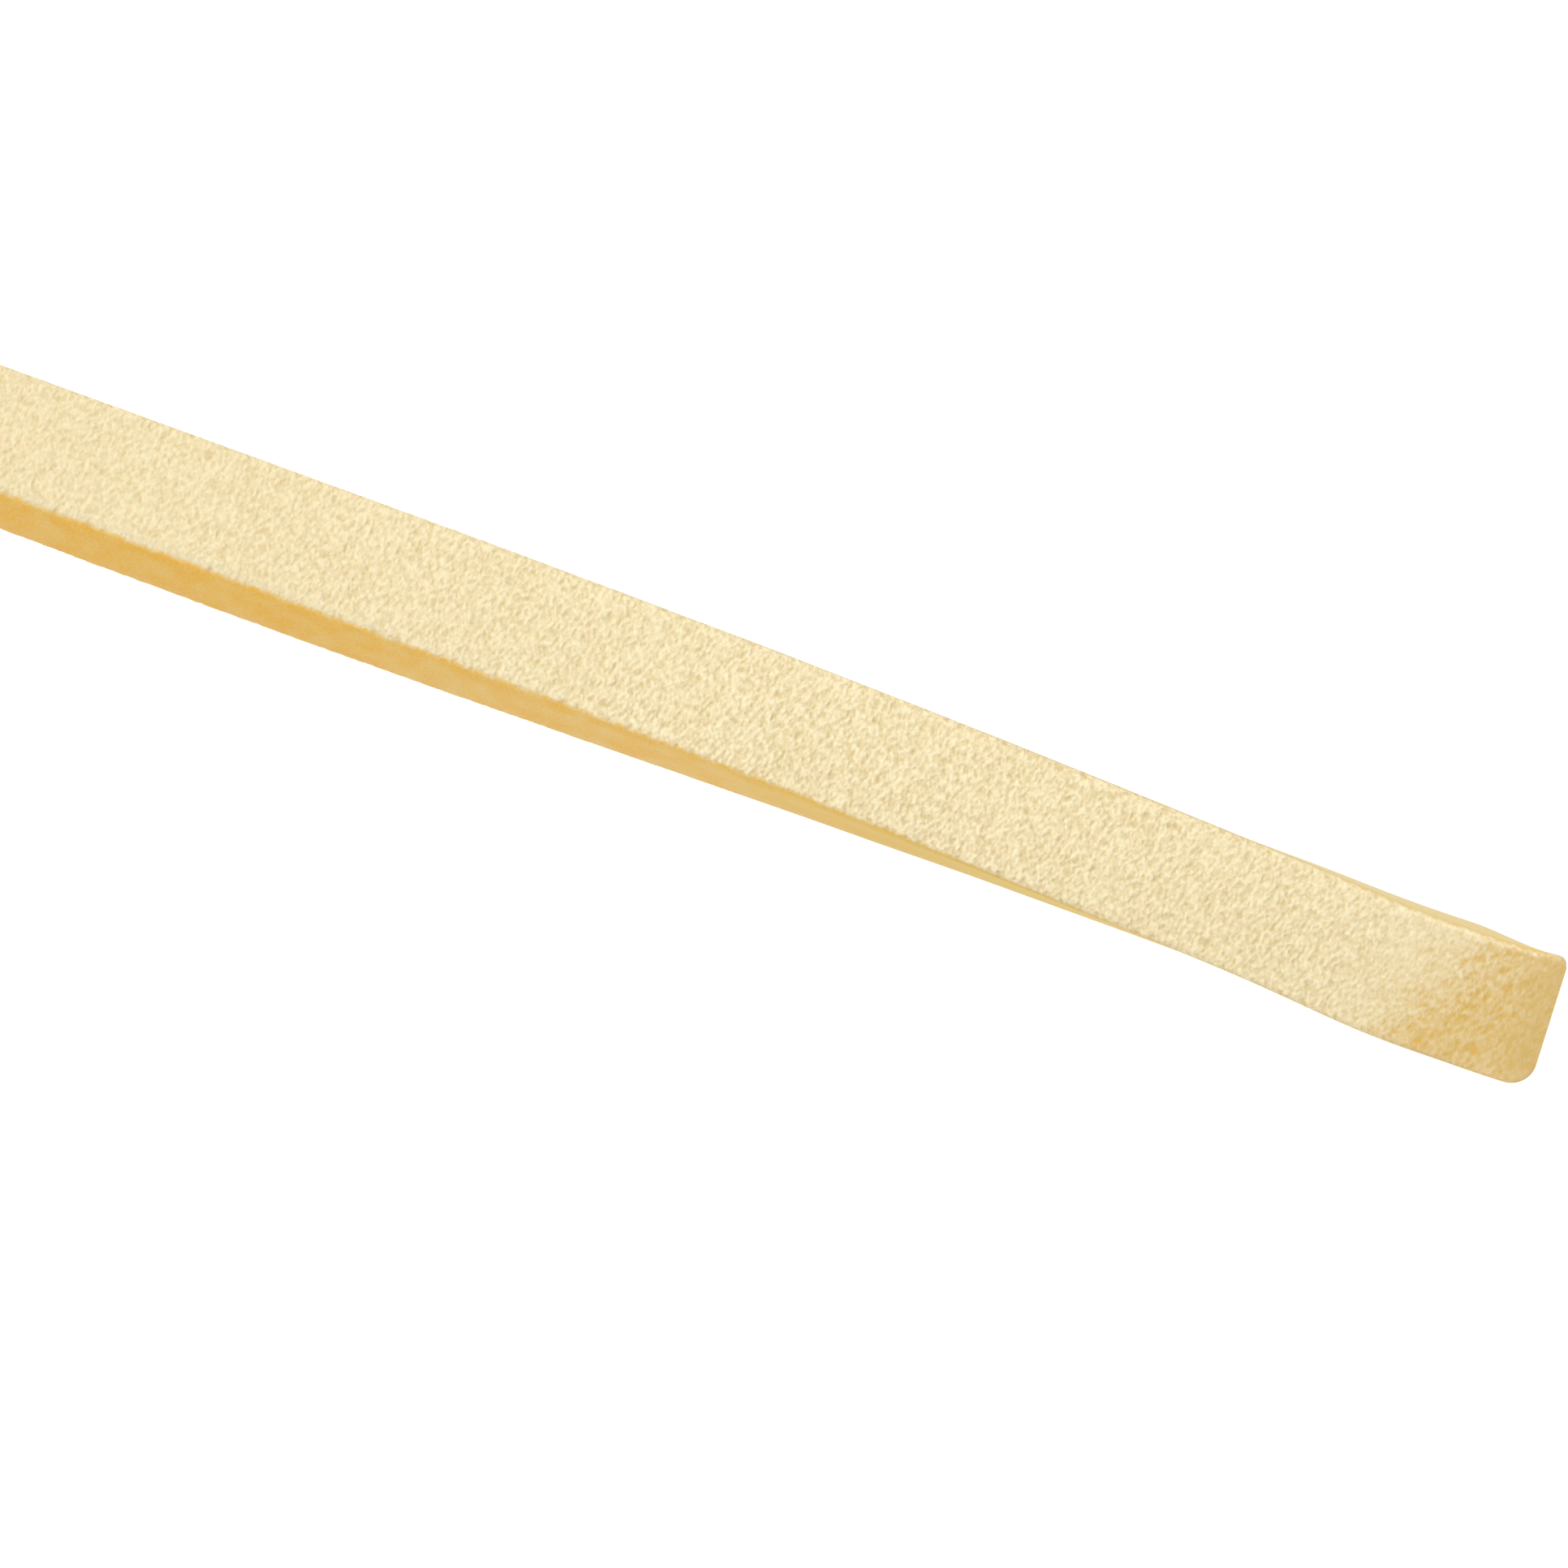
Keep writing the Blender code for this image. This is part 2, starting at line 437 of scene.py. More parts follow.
CUT_RINGS = len(CUT_SHRINK)
x = np.concatenate([np.full(CUT_RINGS, -HALF_LENGTH), ring_x, np.full(CUT_RINGS, HALF_LENGTH)])[:, None]
shrink = np.concatenate([CUT_SHRINK, np.ones(len(ring_x)), CUT_SHRINK[::-1]])[:, None]
plain_y, plain_z = bar_section(x, core_across, core_up, rim_turn, 0.0)
plain_y = plain_y * shrink
plain_z = plain_z * shrink
plain = warped(x, plain_y, plain_z)
SHIFT_Y = STRAND_MIDDLE_Y - (plain[..., 1].min() + plain[..., 1].max()) / 2
print("grid:", plain.shape, "moved across by", round(SHIFT_Y / MM, 3), "mm")

# %% [markdown]
# ## Masks: which finish is where
#
# One strand shows several finishes: rough skin on the broad faces, smooth amber on the cut sides, flour
# along the rims and a pressed strip at the cut. Each could be a material of its own on its own faces, but
# then every border would be a hard line along the mesh's edges. A mask is a number from 0 to 1 for every
# point, so one finish fades into the next, and a noise lets the border wander as it does in real dough.
# The masks start from a few measures: how squarely a point faces up or down, its depth behind the cut,
# its distance from the near side, and whether it is on the far half.

# %% Measures that the masks start from
WANDER_ALONG = 0.25 * MM
WANDER_ACROSS = 0.3 * MM
SIDE_BLEND = 0.5 * MM


def over_grid(values):
    """Repeats values that change only along the strand, or only round it, over the whole grid."""
    return np.broadcast_to(values, plain_y.shape).copy()


facing_up = over_grid(np.abs(np.sin(rim_turn)))
depth = over_grid(HALF_LENGTH - np.abs(x))
wander = noise(x / WANDER_ALONG, plain_y / WANDER_ACROSS, plain_z / WANDER_ACROSS)
on_far_side = between(plain_y, -SIDE_BLEND, SIDE_BLEND)
from_near = plain_y - plain_y.min(axis=1, keepdims=True)
print("points that face straight up or down:", round(100 * float((facing_up > 0.99).mean())), "percent")

# %% [markdown]
# ## Where the rough skin stops
#
# The blade that cut the strand left its sides bare, so the skin covers the broad faces and stops a little
# way round each rim. It reaches further down on the far side and where the strand has turned over, and it
# wraps right round the far corner of the front cut. Shortly before that corner, the far side shows as a
# thin band of bare dough. One threshold on the direction that a point faces, moved by these rules, draws
# the whole border.

# %% Share of rough skin
SKIN_FROM = 0.38
SKIN_FADE = 0.30
SKIN_WANDER = 0.25
TURNED_SKIN_FROM = 0.08
SIDE_HIDDEN_FROM = 105 * MM
SIDE_HIDDEN_TO = 112 * MM
BAND_SKIN_FROM = 0.36
BAND_FROM = 115.5 * MM
BAND_TO = 119 * MM
CORNER_WRAP_FROM = 0.8 * MM
CORNER_WRAP_FULL = 0.6 * CORNER_WRAP_FROM
CORNER_WANDER = 0.3 * MM

turned_over = np.maximum(on_far_side, between(x, SIDE_HIDDEN_FROM, SIDE_HIDDEN_TO))
off_corner = between(depth + CORNER_WANDER * wander, CORNER_WRAP_FULL, CORNER_WRAP_FROM)
wrapped_corner = on_far_side * (x > 0) * (1 - off_corner)
far_band = on_far_side * between(x, BAND_FROM, BAND_TO)
skin_from = SKIN_FROM + (TURNED_SKIN_FROM - SKIN_FROM) * turned_over
skin_from = skin_from + (BAND_SKIN_FROM - TURNED_SKIN_FROM) * far_band - wrapped_corner
rough_share = between(facing_up + SKIN_WANDER * wander, skin_from, skin_from + SKIN_FADE)
print("points with rough skin:", round(100 * float(rough_share.mean())), "percent")

# %% [markdown]
# ## Flour along the rims
#
# Flour from drying gathers where the skin ends. On the far rim it is a pale lip that grows towards the
# front end and breaks up into beads. On the near rim there is only a trace of it, and a darker
# straw-coloured line that fades as the strand turns: that line is painted shade where the near rim rounds
# down. A row of small grains could be laid along the rims, but the flour is far thinner than the mesh, so
# it is a mask for the colour and it fills the wrinkles below it.

# %% Shares of flour and of the near rim's painted shade
LIP_WIDTH = 0.12 * MM
NEAR_FLOUR = 0.1
PLAIN_FLOUR = 0.25
FLOUR_FROM = 114 * MM
FLOUR_TO = 122 * MM
LIP_WANDER = 0.35
LIP_FULL = 0.7
LIP_END = 1.0
BEAD_ALONG = 0.14 * MM
BEAD_ACROSS = 0.12 * MM
BEAD_LOW = -0.25
BEAD_HIGH = 0.15
BETWEEN_BEADS = 0.4
CORNER_FLOUR_LOST = 0.6
NEAR_RIM = 0.5
NEAR_RIM_LOW = 0.1
NEAR_RIM_HIGH = 0.4
NEAR_RIM_FROM = 86 * MM
NEAR_RIM_TO = 101 * MM

at_near_rim = 1 - between(from_near, RIM_RADIUS, RIM_RADIUS + LIP_WIDTH)
near_lip = NEAR_FLOUR * at_near_rim
far_flour = PLAIN_FLOUR + (1 - PLAIN_FLOUR) * between(x, FLOUR_FROM, FLOUR_TO)
far_lip = far_flour * on_far_side * (1 - between(facing_up + LIP_WANDER * wander, LIP_FULL, LIP_END))
bead_noise = noise(x / BEAD_ALONG, plain_y / BEAD_ACROSS, plain_z / BEAD_ACROSS + NOISE_PLACE["beads"])
beads = between(bead_noise, BEAD_LOW, BEAD_HIGH)
far_lip = far_lip * (1 - CORNER_FLOUR_LOST * wrapped_corner) * (BETWEEN_BEADS + (1 - BETWEEN_BEADS) * beads)
lip_share = rough_share * np.maximum(near_lip, far_lip)
# The near rim's straw line is painted shade where the rim rounds down.
painted_near_rim_shade = NEAR_RIM * at_near_rim * between(facing_up, NEAR_RIM_LOW, NEAR_RIM_HIGH)
painted_near_rim_shade *= 1 - between(x, NEAR_RIM_FROM, NEAR_RIM_TO)
print("most flour on the lip:", round(float(lip_share.max()), 2))

# %% [markdown]
# ## The worn ends and the cut sides, with painted shade
#
# Where the blade came down it pressed the dough smooth, in a strip along the cut. Behind that strip the
# skin is thin and the light comes through, so the last millimetres look more amber, and the more so on
# the near side. This amber, and the pressed strip's, is partly the dough's own colour and partly painted
# shade of the ends where they turn and round off. The bare sides change along the strand too: amber at
# first, a little paler where they start to narrow, and deeper after that, where the deeper colour is
# painted shade on the turning side. A texture painted by hand could hold all this, but a depth
# behind the cut that is tilted across and bent by a noise gives the same border and fits both ends.

# %% Shares of pressed dough, of amber and of the sides' tones, partly painted shade
SMOOTH_FROM = 1.4 * MM
SMOOTH_TO = 0.3 * MM
SMOOTH_WANDER = 0.5 * MM
AMBER_FROM = 5.5 * MM
AMBER_TO = 1.0 * MM
AMBER_TILT = 0.55
AMBER_WANDER = 0.8 * MM
AMBER_PATCH = 1.0 * MM
SIDE_PALE_FROM = 86 * MM
SIDE_PALE_TO = 95 * MM
SIDE_SHADE_FROM = 98 * MM
SIDE_SHADE_TO = 111 * MM

smooth_share = 1 - between(depth + SMOOTH_WANDER * wander, SMOOTH_TO, SMOOTH_FROM)
patch_up = plain_z / AMBER_PATCH + NOISE_PLACE["amber"]
amber_patches = noise(x / AMBER_PATCH, plain_y / AMBER_PATCH, patch_up)
amber_depth = depth + AMBER_TILT * plain_y + AMBER_WANDER * amber_patches
# The amber share is partly the thin dough's colour and partly painted shade of the turning ends.
end_amber_and_shade = 1 - between(amber_depth, AMBER_TO, AMBER_FROM)
side_pale = over_grid(between(x, SIDE_PALE_FROM, SIDE_PALE_TO))
# Where the side colour deepens is painted shade on the side as the strand turns.
painted_side_shade = over_grid(between(x, SIDE_SHADE_FROM, SIDE_SHADE_TO))
print("points on the pressed strips:", int((smooth_share > 0.5).sum()), "of", smooth_share.size)

# %% [markdown]
# ## How strong the grain is
#
# The wrinkles are not equally marked all along: their strength rises and falls slowly, and it drops in
# the last millimetres, where the wrinkles are larger and softer. One depth for all would look stamped.
# The mesh can hold wrinkles only where its rings are close together. So one mask gives the strength, and
# another says how much of the grain is carved into the mesh, so that the material can paint the rest.

# %% Strength of the grain, and where the mesh carries it
GRAIN_SWELL = 0.18
GRAIN_WAVELENGTH = 56 * MM
GRAIN_CREST = 106 * MM
END_GRAIN_LOST = 0.42
END_GRAIN_FROM = 6.5 * MM
END_GRAIN_TO = 3.5 * MM
CARVE_FADE = 2 * MM

grain_share = over_grid(1 - GRAIN_SWELL + wave(x, GRAIN_SWELL, GRAIN_WAVELENGTH, GRAIN_CREST))
grain_share *= 1 - END_GRAIN_LOST * (1 - between(depth, END_GRAIN_TO, END_GRAIN_FROM))
carved = over_grid(between(x, FINE_FROM - CARVE_FADE, FINE_FROM))
print("grain strength from", round(float(grain_share.min()), 2), "to", round(float(grain_share.max()), 2))

# %% [markdown]
# ## Sinking the relief
#
# The skin's wrinkles are two hundredths of a millimetre deep, the slow bulges a little more, and the rims
# are nicked where the blade tore the skin. Raising all this on the bar would make it bigger than the
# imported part. So every pattern is turned round and sunk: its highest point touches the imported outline,
# and nothing grows past it.

# %% Depth of the relief on the faces and sides
WRINKLE_DEPTH = 0.022 * MM
CLUMP_DEPTH = 0.006 * MM
BULGE_DEPTH = 0.030 * MM
SIDE_DEPTH = 0.012 * MM
SIDE_WAVE_ALONG = 2.5 * MM
SIDE_WAVE_ACROSS = 1.0 * MM
SIDE_WAVE_UP = 0.5 * MM
PRESSED_FLAT = 0.6
FLOUR_FILLS = 0.5

skin_crests = skin(x, plain_y, plain_z)
skin_clumps = clumps(x, plain_y, plain_z)
skin_bulges = bulges(x, plain_y, plain_z)
side_noise = noise(x / SIDE_WAVE_ALONG, plain_y / SIDE_WAVE_ACROSS, plain_z / SIDE_WAVE_UP)
side_waves = np.clip(0.5 + side_noise, 0, 1)
roughness_left = rough_share * (1 - PRESSED_FLAT * smooth_share) * (1 - FLOUR_FILLS * lip_share)
sunk = WRINKLE_DEPTH * grain_share * (skin_crests - 1) * carved * roughness_left
sunk += CLUMP_DEPTH * (skin_clumps - 1) * roughness_left
sunk += BULGE_DEPTH * (skin_bulges - 1) * rough_share
sunk += SIDE_DEPTH * (side_waves - 1) * (1 - rough_share)
print("relief from", round(float(sunk.min() / MM), 3), "to", round(float(sunk.max() / MM), 3), "mm")

# %% Nicks in the rims
NICK_DEPTH = 0.028 * MM
NICK_SPACING = 0.24 * MM
NICK_REACH = 2 * MM
NICK_LOW = 0.12
NICK_HIGH = 0.38
RIM_FOOT = (0.2, 0.7)
RIM_TOP = (0.9, 1.0)

on_rim = between(facing_up, *RIM_FOOT) * (1 - between(facing_up, *RIM_TOP))
nick_noise = noise(x / NICK_SPACING, plain_y / NICK_REACH, plain_z / NICK_REACH + NOISE_PLACE["nicks"])
nicks = between(nick_noise, NICK_LOW, NICK_HIGH) * on_rim
sunk -= NICK_DEPTH * nicks * carved
print("points in a nick:", int((nicks > 0.5).sum()))

# %% The grain of the two cuts, and the finished points
CUT_DEPTH = 0.040 * MM
CUT_GRAIN_SIZE = 0.22 * MM
CUT_GRAIN_ALONG = 1.0 * MM

cut_rows = shrink < 1
cut_grain = noise(plain_y / CUT_GRAIN_SIZE, plain_z / CUT_GRAIN_SIZE, x / CUT_GRAIN_ALONG)
cut_sunk = CUT_DEPTH * (cut_grain - NOISE_REACH) * cut_rows
solid_y, solid_z = bar_section(x, core_across, core_up, rim_turn, sunk)
points = warped(x, solid_y * shrink, solid_z * shrink)
points[..., 0] += np.sign(x) * cut_sunk
points[..., 1] += SHIFT_Y
print("deepest place in a cut:", round(float(cut_sunk.min() / MM), 3), "mm")

# %% [markdown]
# ## From grid to mesh
#
# A grid becomes a mesh when every cell gets a face. The plain stretch keeps only every second point of
# each ring, so one row of triangles sews the coarse rings to the fine ones, three triangles for each
# coarse cell, and a fan of triangles closes the middle of each cut. A Remesh modifier could join the two
# densities, but it would blur the carved skin. The faces are listed in an order that makes them point
# outwards.

# %% Faces between rings
def cells(rows, columns, first):
    """Four corners of every cell of a grid that closes round its columns, as numbers from first on."""
    row = np.arange(rows - 1)[:, None] * columns + first
    column = np.arange(columns)[None]
    following = (column + 1) % columns
    corners = [row + column, row + following, row + following + columns, row + column + columns]
    return np.stack(corners, axis=-1).reshape(-1, 4)


def sewing(columns, coarse_first, fine_first):
    """Joins a coarse ring to the fine ring beside it.

    Each stretch of the coarse ring faces two stretches of the fine one, and three triangles fill the gap:
    one on either fine stretch and one on the coarse stretch between them.
    """
    here = np.arange(columns)
    coarse = coarse_first + here
    coarse_next = coarse_first + (here + 1) % columns
    fine = fine_first + 2 * here
    fine_next = fine_first + (2 * here + 2) % (2 * columns)
    gap_filling = [
        (coarse, fine + 1, fine),
        (coarse, coarse_next, fine + 1),
        (coarse_next, fine_next, fine + 1),
    ]
    return np.concatenate([np.stack(corners, axis=-1) for corners in gap_filling])


def fan(columns, first, pole, outwards):
    """Triangles from each stretch of a ring to one middle point."""
    here = first + np.arange(columns)
    following = first + (np.arange(columns) + 1) % columns
    order = (here, following) if outwards else (following, here)
    return np.stack([*order, np.full(columns, pole)], axis=-1)


print("a ring of four sewn to a ring of eight takes", len(sewing(4, 0, 4)), "triangles")

# %% Points and faces of the whole strand
coarse_rows = int((x[:, 0] < FINE_FROM).sum())
coarse_columns = len(core_across) // 2
fine_rows = len(x) - coarse_rows
fine_columns = len(core_across)


def on_mesh(values):
    """A grid's values in the order of the mesh's points.

    The coarse rings give every second one, the fine rings give all, and each pole gets its ring's mean.
    """
    coarse = values[:coarse_rows, ::2].reshape(coarse_rows * coarse_columns, -1)
    fine = values[coarse_rows:].reshape(fine_rows * fine_columns, -1)
    poles = values[[0, -1]].reshape(2, fine_columns, -1).mean(axis=1)
    return np.concatenate([coarse, fine, poles])


vertices = on_mesh(points)
fine_first = coarse_rows * coarse_columns
back_pole = len(vertices) - 2
front_pole = len(vertices) - 1
quads = np.concatenate([cells(coarse_rows, coarse_columns, 0), cells(fine_rows, fine_columns, fine_first)])
triangles = np.concatenate([
    sewing(coarse_columns, fine_first - coarse_columns, fine_first),
    fan(coarse_columns, 0, back_pole, False),
    fan(fine_columns, back_pole - fine_columns, front_pole, True),
])
print("triangles:", 2 * len(quads) + len(triangles))

# %% [markdown]
# ## The strand as an object
#
# The whole strand is one closed piece, as it is in the hand, so it becomes one mesh. Its object stays at
# the origin, unturned, and the strand's place is in the points. The masks go onto the mesh as named
# attributes, one number for each point, which a material can read by name. A UV map could carry two of
# them, but there are more, and the place on the straight bar needs three numbers.

# %% The mesh, its masks and its place on the straight bar
strand_mesh = bpy.data.meshes.new("pasta_strand")
strand_mesh.from_pydata(vertices.tolist(), [], quads.tolist() + triangles.tolist())
strand_mesh.shade_smooth()
strand = bpy.data.objects.new("pasta_strand", strand_mesh)
bpy.context.scene.collection.objects.link(strand)


def store(name, values):
    """Writes one number for each point of the mesh as a named attribute."""
    held = strand_mesh.attributes.new(name, "FLOAT", "POINT")
    held.data.foreach_set("value", on_mesh(values).astype(np.float32).ravel())


store("rough_share", rough_share)
store("lip_share", lip_share)
store("smooth_share", smooth_share)
store("end_amber_and_shade", end_amber_and_shade)
store("side_pale", side_pale)
store("painted_side_shade", painted_side_shade)
store("far_side", on_far_side)
store("grain_share", grain_share)
store("carved", carved)
store("nicks", nicks)
store("painted_near_rim_shade", painted_near_rim_shade)
store("crests", skin_crests)
unwarped = np.stack([over_grid(x), plain_y, plain_z], axis=-1) / MM
bar_place = strand_mesh.attributes.new("bar_place", "FLOAT_VECTOR", "POINT")
bar_place.data.foreach_set("vector", on_mesh(unwarped).astype(np.float32).ravel())
print("strand mesh has", len(strand_mesh.polygons), "faces, valid:", not strand_mesh.validate())

# %% [markdown]
# ## Shader nodes in short
#
# Dried dough is one substance with several finishes: rough floury skin, its more amber stretch near the
# front cut, a pale lip of flour along the rim, small tan nicks, and smooth amber where a blade cut it.
# Several materials could each show one of them, but the fades between them need all the colours in one
# place. So there is one material, and the masks stored on the mesh say which finish a place has. A few
# helpers add the nodes, so that each step of the material reads as one line.

# %% Helpers that read and stretch values
def put(tree, socket, value):
    """Links a value that is a node's output, or sets a plain one."""
    if isinstance(value, bpy.types.NodeSocket):
        tree.links.new(value, socket)
    else:
        socket.default_value = value


def stored(tree, name, output="Fac"):
    """Reads an attribute of the mesh."""
    node = tree.nodes.new("ShaderNodeAttribute")
    node.attribute_name = name
    return node.outputs[output]


def remap(tree, value, low, high, to_low=0.0, to_high=1.0, curve="LINEAR"):
    """Stretches low..high to to_low..to_high and clips what lies outside."""
    node = tree.nodes.new("ShaderNodeMapRange")
    node.interpolation_type = curve
    put(tree, node.inputs["Value"], value)
    for name, number in (("From Min", low), ("From Max", high), ("To Min", to_low), ("To Max", to_high)):
        node.inputs[name].default_value = number
    return node.outputs["Result"]


print("masks to read:", len(strand_mesh.attributes), "attributes with Blender's own")

# %% Helpers for sums and blends
MIX_NUMBERS = (2, 3)
MIX_COLOURS = (6, 7)
MIX_COLOUR_RESULT = 2


def maths(tree, operation, first, second=0.0):
    """One step of arithmetic on two numbers."""
    node = tree.nodes.new("ShaderNodeMath")
    node.operation = operation
    put(tree, node.inputs[0], first)
    put(tree, node.inputs[1], second)
    return node.outputs[0]


def weighed(tree, *pairs):
    """A sum in which every value has its own weight."""
    total = maths(tree, "MULTIPLY", *pairs[0])
    for value, weight in pairs[1:]:
        total = maths(tree, "ADD", total, maths(tree, "MULTIPLY", value, weight))
    return total


def blended(tree, share, first, second):
    """A colour that is the first at share 0 and the second at share 1."""
    node = tree.nodes.new("ShaderNodeMix")
    node.data_type = "RGBA"
    put(tree, node.inputs[0], share)
    put(tree, node.inputs[MIX_COLOURS[0]], first)
    put(tree, node.inputs[MIX_COLOURS[1]], second)
    return node.outputs[MIX_COLOUR_RESULT]


def blended_value(tree, share, first, second):
    """A number that is the first at share 0 and the second at share 1."""
    node = tree.nodes.new("ShaderNodeMix")
    put(tree, node.inputs[0], share)
    put(tree, node.inputs[MIX_NUMBERS[0]], first)
    put(tree, node.inputs[MIX_NUMBERS[1]], second)
    return node.outputs[0]


print("a mix node's numbers are its sockets", MIX_NUMBERS, "and its colours", MIX_COLOURS)

# %% Helpers for patterns
def leaned(tree, place, along, across, lean=0.0):
    """Coordinates in which one unit is along x across millimetres, leaned as the wrinkles are."""
    node = tree.nodes.new("ShaderNodeMapping")
    node.vector_type = "TEXTURE"
    node.inputs["Rotation"].default_value = (0, 0, -math.atan(lean))
    node.inputs["Scale"].default_value = (along, across, along)
    put(tree, node.inputs["Vector"], place)
    return node.outputs[0]


def cloud(tree, place, detail=0.0, distortion=0.0):
    """Blender's own noise with one cell to a unit of the place, from 0 to 1 around a middle of 0.5."""
    node = tree.nodes.new("ShaderNodeTexNoise")
    put(tree, node.inputs["Vector"], place)
    node.inputs["Scale"].default_value = 1.0
    node.inputs["Detail"].default_value = detail
    node.inputs["Distortion"].default_value = distortion
    return node.outputs["Fac"]


def crest_lines(tree, place, width, distortion=0.0):
    """1 on the middle lines of a cloud and 0 from the given distance off them, with a soft foot."""
    off_middle = maths(tree, "ABSOLUTE", maths(tree, "SUBTRACT", cloud(tree, place, 0.0, distortion), 0.5))
    return remap(tree, off_middle, width, 0.0, curve="SMOOTHSTEP")


print("helpers for patterns are ready")

# %% [markdown]
# ## Heights that the colours follow
#
# On dried dough the colour follows the height of the skin. Where the mesh carries the wrinkles, the
# material reads them from the mesh. On the plain stretch, where the mesh is too coarse for them, a noise
# texture of the same size takes over. Two finer grains are too small for any mesh: short creases between
# the wrinkles, and the dough's own grit. A ready-made texture could be wrapped round the strand, but it
# would stretch and repeat. Everything here reads the straight bar's own millimetres, so the grain follows
# the strand as it turns.

# %% Wrinkles, creases and grit as heights
PAINTED_CREST = 0.12
GRAIN_DISTORTION = 0.3
CREASE_ALONG = 0.12
CREASE_ACROSS = 0.17
GRIT_SIZE = 0.09
CLOUD_LOW = 0.25
CLOUD_HIGH = 0.75
SKIN_WEIGHTS = (0.36, 0.40, 0.24)

dough = bpy.data.materials.new("dried_dough")
dough.use_nodes = True
tree = dough.node_tree
shader = tree.nodes["Principled BSDF"]
place = stored(tree, "bar_place", "Vector")
rough = stored(tree, "rough_share")
carved_share = stored(tree, "carved")

wrinkle_place = leaned(tree, place, WRINKLE_ALONG / MM, WRINKLE_ACROSS / MM, WRINKLE_LEAN)
painted_wrinkles = crest_lines(tree, wrinkle_place, PAINTED_CREST, GRAIN_DISTORTION)
wrinkle_height = blended_value(tree, carved_share, painted_wrinkles, stored(tree, "crests"))
crease_place = leaned(tree, place, CREASE_ALONG, CREASE_ACROSS, WRINKLE_LEAN)
crease_height = remap(tree, cloud(tree, crease_place, 0.0, GRAIN_DISTORTION), CLOUD_LOW, CLOUD_HIGH)
grit_height = remap(tree, cloud(tree, leaned(tree, place, GRIT_SIZE, GRIT_SIZE)), CLOUD_LOW, CLOUD_HIGH)
grain = stored(tree, "grain_share")
heights = (wrinkle_height, crease_height, grit_height)
height = weighed(tree, *zip(heights, SKIN_WEIGHTS))
print("weights of wrinkles, creases and grit add up to", round(sum(SKIN_WEIGHTS), 2))

# %% [markdown]
# ## The colour of the skin
#
# Crests hold flour and look creamy, and pits look straw yellow, darker partly by painted shade that falls
# in the hollows. Towards the front cut both turn more amber, the pits before the crests, and a few small
# pits there are orange; this amber and orange are partly painted shade as well. Painting each pit would
# take long and fit one strand only. The height already says where crests and pits are, so it picks the
# colour.
# Colours are given as linear light, which is what a shader counts in.

# %% Skin of the long faces, with painted shade in the pits
CREST_CREAM = (0.706, 0.617, 0.404, 1)
# The pits' straw is darker than the crests partly as painted shade in the hollows.
SHADED_PIT_STRAW = (0.536, 0.421, 0.210, 1)
TONE_LOW = 0.15
TONE_HIGH = 0.85

tone = remap(tree, height, TONE_LOW, TONE_HIGH, -0.5, 0.5)
tone = maths(tree, "ADD", maths(tree, "MULTIPLY", tone, grain), 0.5)
skin_colour = blended(tree, tone, SHADED_PIT_STRAW, CREST_CREAM)
print("red of a pit over red of a crest:", round(SHADED_PIT_STRAW[0] / CREST_CREAM[0], 2))

# %% Skin of the front end, amber partly as painted shade
# The end colours are partly the thin dough's amber and partly painted shade of the turning end.
SHADED_END_CREAM = (0.610, 0.480, 0.262, 1)
SHADED_END_AMBER = (0.505, 0.325, 0.062, 1)
# Orange that is laid only into pits near the cut is partly painted shade.
SHADED_PIT_ORANGE = (0.600, 0.345, 0.050, 1)
END_WEIGHTS = (0.55, 0.30, 0.15)
END_TONE_HIGH = 1.1
PITS_LEAD = -0.4
AMBER_LOW = -0.1
AMBER_HIGH = 0.6
SPOT_ALONG = 0.16
SPOT_ACROSS = 0.24
SPOT_LEAN = 0.5
SPOT_LOW = 0.58
SPOT_HIGH = 0.80
PIT_HEIGHT = 0.25
CREST_HEIGHT = 0.65
ORANGE_LOW = 0.1

end_height = weighed(tree, *zip(heights, END_WEIGHTS))
end_colour = blended(tree, remap(tree, end_height, 0.0, END_TONE_HIGH), SHADED_END_AMBER, SHADED_END_CREAM)
pits_first = weighed(tree, (stored(tree, "end_amber_and_shade"), 1.0), (height, PITS_LEAD))
skin_colour = blended(tree, remap(tree, pits_first, AMBER_LOW, AMBER_HIGH), skin_colour, end_colour)
spot_place = leaned(tree, place, SPOT_ALONG, SPOT_ACROSS, SPOT_LEAN)
orange_spots = remap(tree, cloud(tree, spot_place), SPOT_LOW, SPOT_HIGH)
orange_pits = maths(tree, "MULTIPLY", orange_spots, remap(tree, height, CREST_HEIGHT, PIT_HEIGHT))
near_cut = remap(tree, pits_first, ORANGE_LOW, AMBER_HIGH)
orange_share = maths(tree, "MULTIPLY", orange_pits, near_cut)
skin_colour = blended(tree, orange_share, skin_colour, SHADED_PIT_ORANGE)
print("orange spots are", SPOT_ALONG, "by", SPOT_ACROSS, "mm")

# %% Painted shade on the near rim, and the pressed strip with its partly painted shade
SHADED_RIM_STRAW = (0.550, 0.480, 0.305, 1)
# The pressed strip's amber is partly painted shade of the rounded cut.
PRESSED_AMBER_AND_SHADE = (0.530, 0.372, 0.128, 1)
PRESSED_SHARE = 0.5

# The near rim's straw line is painted shade.
skin_colour = blended(tree, stored(tree, "painted_near_rim_shade"), skin_colour, SHADED_RIM_STRAW)
smooth = stored(tree, "smooth_share")
skin_colour = blended(tree, maths(tree, "MULTIPLY", smooth, PRESSED_SHARE), skin_colour, PRESSED_AMBER_AND_SHADE)
print("share of the pressed colour at the cut:", PRESSED_SHARE)

